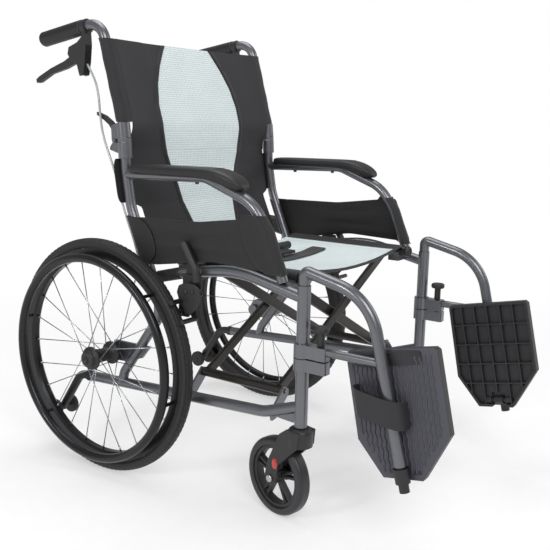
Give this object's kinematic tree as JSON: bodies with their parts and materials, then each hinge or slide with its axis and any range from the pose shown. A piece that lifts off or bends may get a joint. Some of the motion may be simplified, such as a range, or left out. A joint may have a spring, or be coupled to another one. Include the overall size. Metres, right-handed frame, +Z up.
{
  "type": "folding wheelchair",
  "caption": "Folding self-propelled wheelchair with tubular frame, cross brace, sling seat, fold-down back, handrims, casters, flip-up footplates and attendant brakes.",
  "frame": {"origin": "on the floor under the middle of the whole chair", "axes": "+Z up, the chair faces -Y, +X is the seated user's left"},
  "size_m": [0.693, 1.0284, 0.9587],
  "materials": {
    "frame_paint": "metallic powder coat",
    "brace_paint": "satin",
    "black_plastic": "textured",
    "plate_plastic": "textured",
    "soft_pad": "moulded foam skin",
    "tyre_rubber": "matte",
    "caster_rubber": "matte",
    "wheel_alloy": "black anodised",
    "steel": "plated",
    "nylon": "woven nylon",
    "cable_sheath": "smooth"
  },
  "bodies": {
    "right_frame": {"right_frame": "frame_paint", "right_arm_pad": "soft_pad", "right_skirt_guard": "nylon", "right_brake_body": "black_plastic", "right_tipper_tube": "black_plastic", "right_back_hinge": "frame_paint", "right_brake_cable": "cable_sheath", "back_sling_lower": "nylon"},
    "right_upper_back": {"right_push_handle_tube": "frame_paint", "right_grip": "soft_pad", "right_handle_brake_body": "black_plastic", "back_sling_upper": "nylon"},
    "right_back_release": {"right_release_lever": "black_plastic"},
    "right_handle_brake": {"right_handle_brake_lever": "black_plastic"},
    "right_brake_lever": {"right_brake_lever": "black_plastic"},
    "right_brake_shoe": {"right_brake_shoe": "steel"},
    "right_wheel": {"right_tyre": "tyre_rubber", "right_wheel_rim": "wheel_alloy", "right_spoked_hub": "black_plastic", "right_handrim": "wheel_alloy"},
    "right_caster": {"right_caster_fork": "black_plastic"},
    "right_caster_wheel": {"right_caster_tyre": "caster_rubber", "right_caster_wheel": "black_plastic"},
    "right_tip_wheels": {"right_tip_wheels": "soft_pad"},
    "right_hanger": {"right_hanger_tube": "frame_paint"},
    "right_latch_knob": {"right_latch_knob": "black_plastic"},
    "right_footplate_post": {"right_footplate_post": "black_plastic"},
    "right_footplate": {"right_footplate": "plate_plastic", "right_heel_strap": "nylon"},
    "left_frame": {"left_frame": "frame_paint", "left_arm_pad": "soft_pad", "left_skirt_guard": "nylon", "left_brake_body": "black_plastic", "left_tipper_tube": "black_plastic", "left_back_hinge": "frame_paint", "left_brake_cable": "cable_sheath"},
    "left_upper_back": {"left_push_handle_tube": "frame_paint", "left_grip": "soft_pad", "left_handle_brake_body": "black_plastic"},
    "left_back_release": {"left_release_lever": "black_plastic"},
    "left_handle_brake": {"left_handle_brake_lever": "black_plastic"},
    "left_brake_lever": {"left_brake_lever": "black_plastic"},
    "left_brake_shoe": {"left_brake_shoe": "steel"},
    "left_wheel": {"left_tyre": "tyre_rubber", "left_wheel_rim": "wheel_alloy", "left_spoked_hub": "black_plastic", "left_handrim": "wheel_alloy"},
    "left_caster": {"left_caster_fork": "black_plastic"},
    "left_caster_wheel": {"left_caster_tyre": "caster_rubber", "left_caster_wheel": "black_plastic"},
    "left_tip_wheels": {"left_tip_wheels": "soft_pad"},
    "left_hanger": {"left_hanger_tube": "frame_paint"},
    "left_latch_knob": {"left_latch_knob": "black_plastic"},
    "left_footplate_post": {"left_footplate_post": "black_plastic"},
    "left_footplate": {"left_footplate": "plate_plastic", "left_heel_strap": "nylon"},
    "brace_a": {"brace_a": "brace_paint"},
    "brace_b": {"brace_b": "brace_paint", "seat_sling": "nylon", "lap_belt": "nylon"}
  },
  "joints": [
    {"name": "fold", "type": "hinge", "parent": "right_frame", "child": "brace_a", "pos_m": [-0.214, -0.05534, 0.24], "axis": [0, -1, 0], "range_deg": [0, 46], "deforming": ["seat_sling", "lap_belt", "back_sling_lower", "back_sling_upper"]},
    {"name": "fold_cross", "type": "hinge", "parent": "brace_a", "child": "brace_b", "pos_m": [0, -0.05534, 0.354], "axis": [0, -1, 0], "range_deg": [-92, 0]},
    {"name": "fold_left", "type": "hinge", "parent": "brace_b", "child": "left_frame", "pos_m": [0.214, -0.05534, 0.24], "axis": [0, -1, 0], "range_deg": [0, 46]},
    {"name": "right_back_fold", "type": "hinge", "parent": "right_frame", "child": "right_upper_back", "pos_m": [-0.255, 0.24836, 0.711], "axis": [-1, 0, 0], "range_deg": [0, 100], "deforming": ["right_brake_cable"]},
    {"name": "right_back_release", "type": "hinge", "parent": "right_upper_back", "child": "right_back_release", "pos_m": [-0.255, 0.25316, 0.734], "axis": [1, 0, 0], "range_deg": [0, 15], "stiffness_Nm_per_rad": 0.6, "springref_deg": -20.05},
    {"name": "right_handle_brake", "type": "hinge", "parent": "right_upper_back", "child": "right_handle_brake", "pos_m": [-0.255, 0.36016, 0.882], "axis": [1, 0, 0], "range_deg": [0, 20], "stiffness_Nm_per_rad": 2, "springref_deg": -17.19},
    {"name": "right_parking_brake", "type": "hinge", "parent": "right_frame", "child": "right_brake_lever", "pos_m": [-0.275, 0.01516, 0.425], "axis": [1, 0, 0], "range_deg": [0, 40]},
    {"name": "right_parking_shoe", "type": "hinge", "parent": "right_frame", "child": "right_brake_shoe", "pos_m": [-0.275, 0.03916, 0.419], "axis": [1, 0, 0], "range_deg": [0, 10]},
    {"name": "right_wheel_spin", "type": "hinge", "parent": "right_frame", "child": "right_wheel", "pos_m": [-0.301, 0.26016, 0.254], "axis": [1, 0, 0], "continuous": true},
    {"name": "right_caster_swivel", "type": "hinge", "parent": "right_frame", "child": "right_caster", "pos_m": [-0.255, -0.22484, 0.196], "axis": [0, 0, 1], "continuous": true},
    {"name": "right_caster_spin", "type": "hinge", "parent": "right_caster", "child": "right_caster_wheel", "pos_m": [-0.24195, -0.16833, 0.078], "axis": [0.9744, -0.225, 0], "continuous": true},
    {"name": "right_tip_wheel_spin", "type": "hinge", "parent": "right_frame", "child": "right_tip_wheels", "pos_m": [-0.255, 0.44216, 0.086], "axis": [1, 0, 0], "continuous": true},
    {"name": "right_hanger_swing", "type": "hinge", "parent": "right_frame", "child": "right_hanger", "pos_m": [-0.255, -0.22484, 0.4], "axis": [0, 0, 1], "range_deg": [-90, 0]},
    {"name": "right_latch_pull", "type": "slide", "parent": "right_hanger", "child": "right_latch_knob", "axis": [0, 0, 1], "range_m": [0, 0.008], "stiffness_N_per_m": 900, "springref_m": -0.004},
    {"name": "right_post_slide", "type": "slide", "parent": "right_hanger", "child": "right_footplate_post", "axis": [0, -0.2426, -0.9701], "range_m": [0, 0.045]},
    {"name": "right_footplate_flip", "type": "hinge", "parent": "right_footplate_post", "child": "right_footplate", "pos_m": [-0.232, -0.43609, 0.158], "axis": [0, -0.9781, 0.2079], "range_deg": [-90, 0], "deforming": ["right_heel_strap"]},
    {"name": "left_back_fold", "type": "hinge", "parent": "left_frame", "child": "left_upper_back", "pos_m": [0.255, 0.24836, 0.711], "axis": [-1, 0, 0], "range_deg": [0, 100], "deforming": ["left_brake_cable"]},
    {"name": "left_back_release", "type": "hinge", "parent": "left_upper_back", "child": "left_back_release", "pos_m": [0.255, 0.25316, 0.734], "axis": [1, 0, 0], "range_deg": [0, 15], "stiffness_Nm_per_rad": 0.6, "springref_deg": -20.05},
    {"name": "left_handle_brake", "type": "hinge", "parent": "left_upper_back", "child": "left_handle_brake", "pos_m": [0.255, 0.36016, 0.882], "axis": [1, 0, 0], "range_deg": [0, 20], "stiffness_Nm_per_rad": 2, "springref_deg": -17.19},
    {"name": "left_parking_brake", "type": "hinge", "parent": "left_frame", "child": "left_brake_lever", "pos_m": [0.275, 0.01516, 0.425], "axis": [1, 0, 0], "range_deg": [0, 40]},
    {"name": "left_parking_shoe", "type": "hinge", "parent": "left_frame", "child": "left_brake_shoe", "pos_m": [0.275, 0.03916, 0.419], "axis": [1, 0, 0], "range_deg": [0, 10]},
    {"name": "left_wheel_spin", "type": "hinge", "parent": "left_frame", "child": "left_wheel", "pos_m": [0.301, 0.26016, 0.254], "axis": [1, 0, 0], "continuous": true},
    {"name": "left_caster_swivel", "type": "hinge", "parent": "left_frame", "child": "left_caster", "pos_m": [0.255, -0.22484, 0.196], "axis": [0, 0, 1], "continuous": true},
    {"name": "left_caster_spin", "type": "hinge", "parent": "left_caster", "child": "left_caster_wheel", "pos_m": [0.24195, -0.16833, 0.078], "axis": [0.9744, 0.225, 0], "continuous": true},
    {"name": "left_tip_wheel_spin", "type": "hinge", "parent": "left_frame", "child": "left_tip_wheels", "pos_m": [0.255, 0.44216, 0.086], "axis": [1, 0, 0], "continuous": true},
    {"name": "left_hanger_swing", "type": "hinge", "parent": "left_frame", "child": "left_hanger", "pos_m": [0.255, -0.22484, 0.4], "axis": [0, 0, -1], "range_deg": [-90, 0]},
    {"name": "left_latch_pull", "type": "slide", "parent": "left_hanger", "child": "left_latch_knob", "axis": [0, 0, 1], "range_m": [0, 0.008], "stiffness_N_per_m": 900, "springref_m": -0.004},
    {"name": "left_post_slide", "type": "slide", "parent": "left_hanger", "child": "left_footplate_post", "axis": [0, -0.2426, -0.9701], "range_m": [0, 0.045]},
    {"name": "left_footplate_flip", "type": "hinge", "parent": "left_footplate_post", "child": "left_footplate", "pos_m": [0.232, -0.43609, 0.158], "axis": [0, 0.9781, -0.2079], "range_deg": [-90, 0], "deforming": ["left_heel_strap"]}
  ],
  "couplings": [
    {"joint": "right_parking_shoe", "follows": "right_parking_brake", "ratio": 0.25},
    {"joint": "left_parking_shoe", "follows": "left_parking_brake", "ratio": 0.25},
    {"joint": "fold_cross", "follows": "fold", "ratio": -2},
    {"joint": "fold_left", "follows": "fold", "ratio": 1},
    {"joint": "left_back_fold", "follows": "right_back_fold", "ratio": 1}
  ]
}
